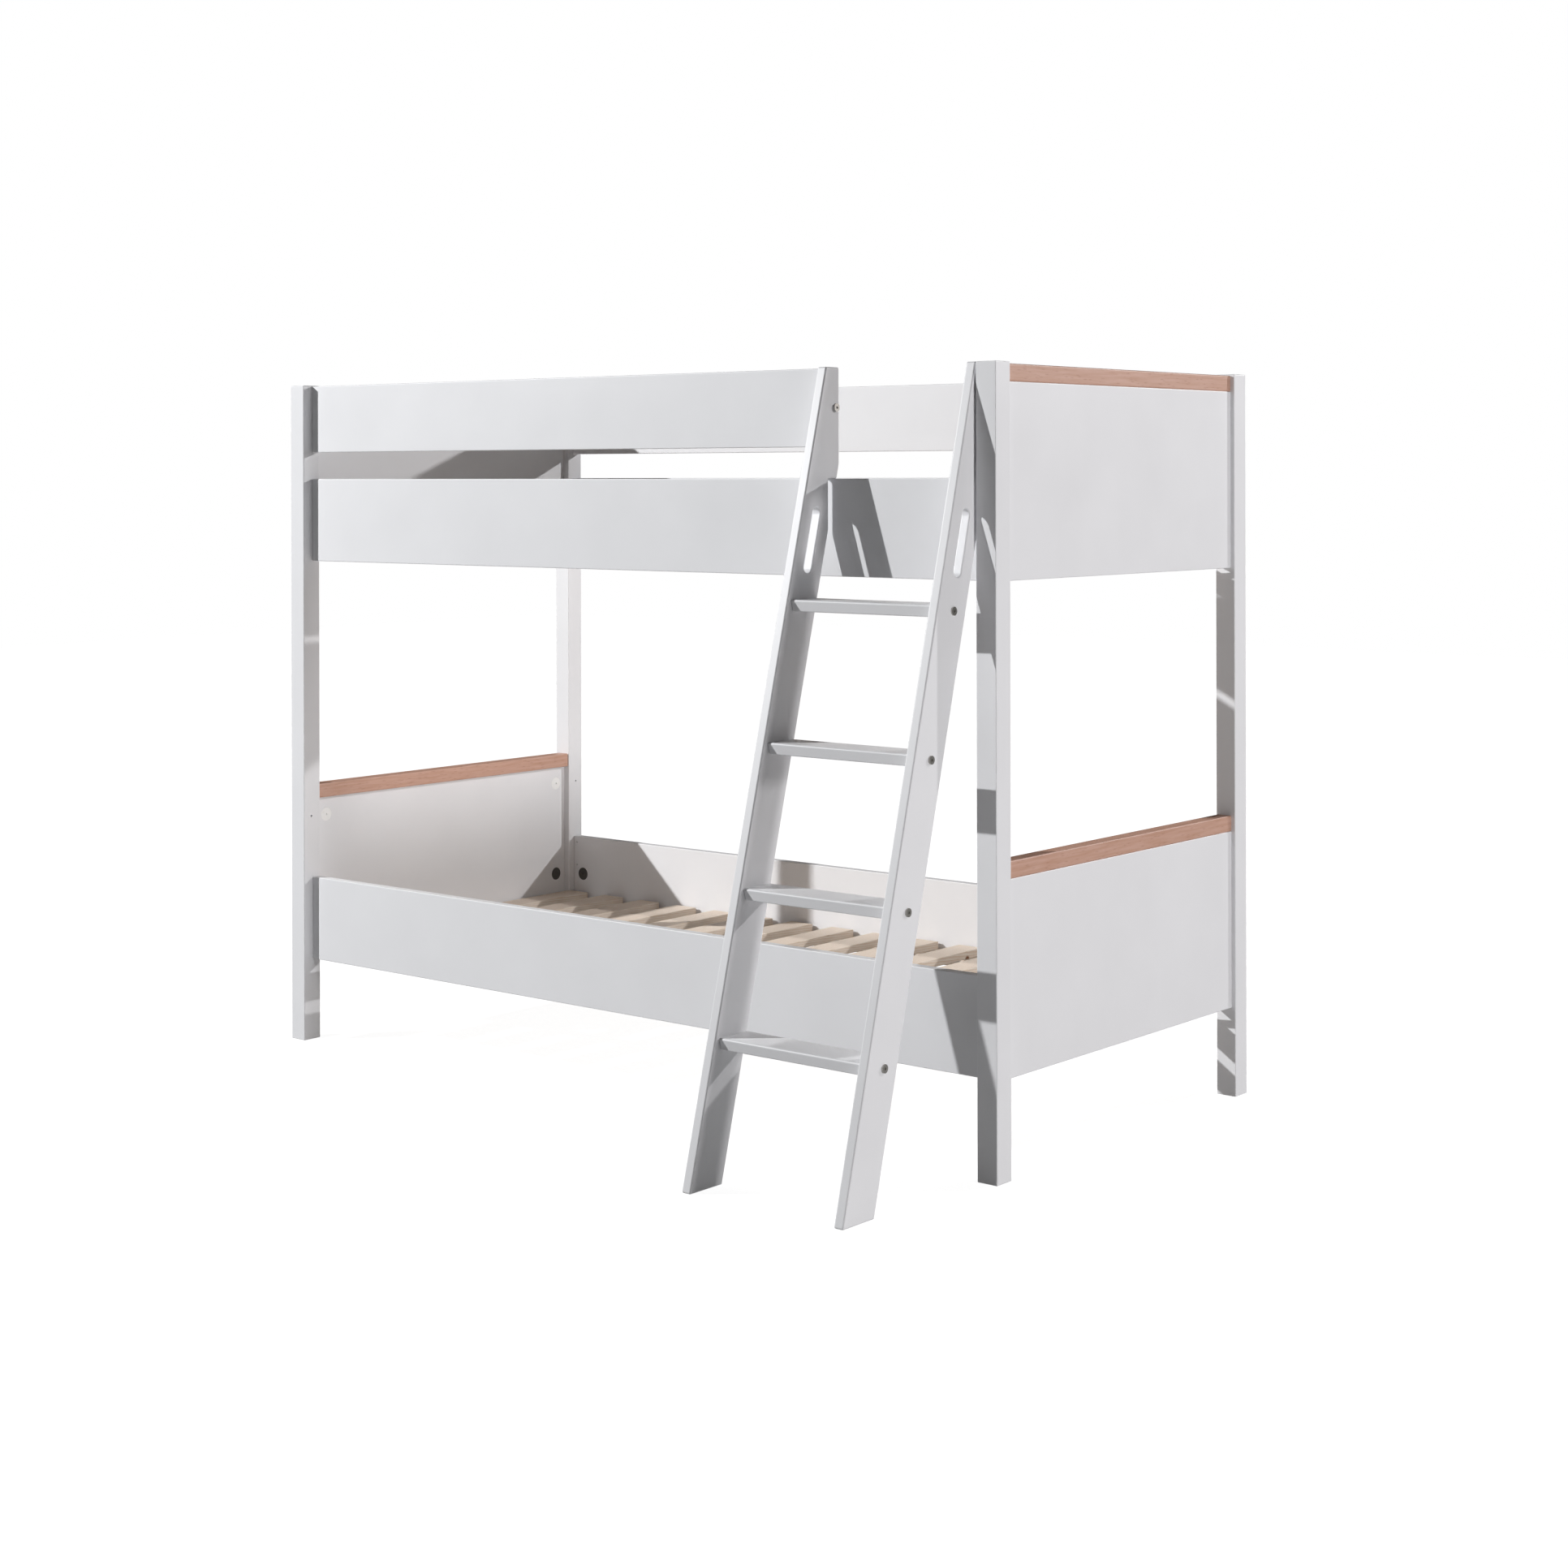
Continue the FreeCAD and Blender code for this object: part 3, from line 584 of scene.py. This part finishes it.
# Staples. Bright wire, 1.2 mm thick with a 10 mm crown, one through the tape
# under every slat. Zinc-plated steel: a greyish metal with a dull shine and
# small cloudy patches.
WIRE = 0.0006
CROWN = 0.010
LEG = 0.003
BEND = 0.0010
ZINC = "#b9bcc0"
ZINC_DULL = "#8f9296"


def speckled(name, speck, detail, dark, pale, dull, bump, sockets):
    """A material mottled by one noise, in its colour, roughness and relief."""
    made, tree, place = new_material(name)
    cloud = add_node(
        tree,
        "ShaderNodeTexNoise",
        sockets={"Vector": place, "Scale": 1 / speck, "Detail": detail},
    )
    tone = add_node(
        tree,
        "ShaderNodeMix",
        {"data_type": "RGBA"},
        {0: cloud.outputs["Fac"], 6: linear(dark), 7: linear(pale)},
    )
    gloss = add_node(
        tree,
        "ShaderNodeMapRange",
        sockets={"Value": cloud.outputs["Fac"], "To Min": dull[0], "To Max": dull[1]},
    )
    relief = add_node(
        tree,
        "ShaderNodeBump",
        sockets={"Strength": bump[0], "Distance": bump[1], "Height": cloud.outputs["Fac"]},
    )
    look = {
        "Base Color": tone.outputs[2],
        "Roughness": gloss.outputs["Result"],
        "Normal": relief.outputs["Normal"],
    }
    finish_surface(tree, look | sockets)
    return made


zinc = speckled(
    "zinc_plated_steel",
    speck=0.004,
    detail=4.0,
    dark=ZINC_DULL,
    pale=ZINC,
    dull=(0.30, 0.50),
    bump=(0.1, 0.0001),
    sockets={"Metallic": 1.0},
)


def bend_staple():
    """One staple: a bent wire with its crown along Y and its two legs up."""
    shape = bmesh.new()
    start = bmesh.ops.create_circle(shape, cap_ends=True, segments=6, radius=WIRE)
    bmesh.ops.translate(shape, vec=(0, -CROWN / 2, LEG), verts=start["verts"])
    end = list(shape.faces)
    runs = [
        ((0, 0, -LEG), (0, -CROWN / 2 + BEND, 0)),
        ((0, CROWN - 2 * BEND, 0), (0, CROWN / 2 - BEND, 0)),
    ]
    for step, centre in runs:
        grown = bmesh.ops.extrude_face_region(shape, geom=end)
        verts = [g for g in grown["geom"] if isinstance(g, bmesh.types.BMVert)]
        bmesh.ops.translate(shape, vec=step, verts=verts)
        end = [g for g in grown["geom"] if isinstance(g, bmesh.types.BMFace)]
        turned = bmesh.ops.spin(
            shape, geom=end, cent=centre, axis=(1, 0, 0), angle=math.pi / 2, steps=3
        )
        end = [g for g in turned["geom_last"] if isinstance(g, bmesh.types.BMFace)]
    grown = bmesh.ops.extrude_face_region(shape, geom=end)
    verts = [g for g in grown["geom"] if isinstance(g, bmesh.types.BMVert)]
    bmesh.ops.translate(shape, vec=(0, 0, LEG), verts=verts)
    inner = [f for f in shape.faces if all(len(e.link_faces) > 2 for e in f.edges)]
    bmesh.ops.delete(shape, geom=inner, context="FACES_ONLY")
    bmesh.ops.recalc_face_normals(shape, faces=shape.faces)
    return shape


def staple_tape(node):
    """One staple under every slat on the tape's middle line, as one shape."""
    low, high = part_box(node)
    pitch = (high.x - low.x - SLAT_WIDE) / (SLATS - 1)
    shape = bend_staple()
    one = list(shape.verts) + list(shape.edges) + list(shape.faces)
    for i in range(1, SLATS):
        copied = bmesh.ops.duplicate(shape, geom=one)
        verts = [g for g in copied["geom"] if isinstance(g, bmesh.types.BMVert)]
        bmesh.ops.translate(shape, vec=(i * pitch, 0, 0), verts=verts)
    first = low.x + SLAT_WIDE / 2
    under = high.z - TAPE_THICK + BEND - WIRE
    bmesh.ops.translate(shape, vec=(first, (low.y + high.y) / 2, under), verts=shape.verts)
    return shape


for bunk in ("lower", "upper"):
    for side in ("front", "back"):
        node = f"slat_tape_{bunk}_{side}"
        staples = new_piece(f"tape_staples_{bunk}_{side}", staple_tape(node), zinc)
        tape = new_piece(f"webbing_{bunk}_{side}", lay_tape(node), cotton)
        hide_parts(node)


# Hidden steel. Turned pins run from the boards into the posts, and barrel nuts
# sit in the treads and the guard. All are zinc-plated like the staples.
coat(["cam_pins", "ladder_barrel_nuts", "guard_end_nut"], zinc)


# Ladder bolts. Flat-headed connector bolts with a hexagon socket, one at each
# end of each tread and one into the guard. Nickel-plated steel: a warm grey
# metal, half shiny, a little darker where the plating thins.
NICKEL = "#c9c6c0"
NICKEL_THIN = "#a3a19c"
nickel = speckled(
    "nickel_plated_steel",
    speck=0.003,
    detail=3.0,
    dark=NICKEL,
    pale=NICKEL_THIN,
    dull=(0.28, 0.42),
    bump=(0.1, 0.0001),
    sockets={"Metallic": 1.0},
)
coat(["ladder_tread_bolts", "guard_end_bolt"], nickel)


# Dark cams. Cam locks, 33 mm across, let flush into the boards' inner faces; a
# hexagon socket turns them. Moulded in black nylon with glass in it: a dull
# dark grey that is a little mottled and finely rough.
CAM_BLACK = "#3a3836"
CAM_GLASS = "#5d5a56"
black_nylon = speckled(
    "glass_filled_black_nylon",
    speck=0.0012,
    detail=4.0,
    dark=CAM_BLACK,
    pale=CAM_GLASS,
    dull=(0.38, 0.58),
    bump=(0.35, 0.0002),
    sockets={"IOR": 1.53},
)
coat(["cam_locks_dark"], black_nylon)


# White cams. The upper pair on each end panel, in moulded white nylon, so
# they hardly show on the lacquer. Nylon: slightly warm, soft gloss, with the
# faint flow clouds of moulding.
NYLON = "#fcfcfb"
NYLON_CLOUD = "#f5f5f3"
white_nylon = speckled(
    "moulded_white_nylon",
    speck=0.008,
    detail=2.0,
    dark=NYLON_CLOUD,
    pale=NYLON,
    dull=(0.24, 0.34),
    bump=(0.15, 0.0001),
    sockets={"IOR": 1.53},
)
coat(["cam_locks_white"], white_nylon)
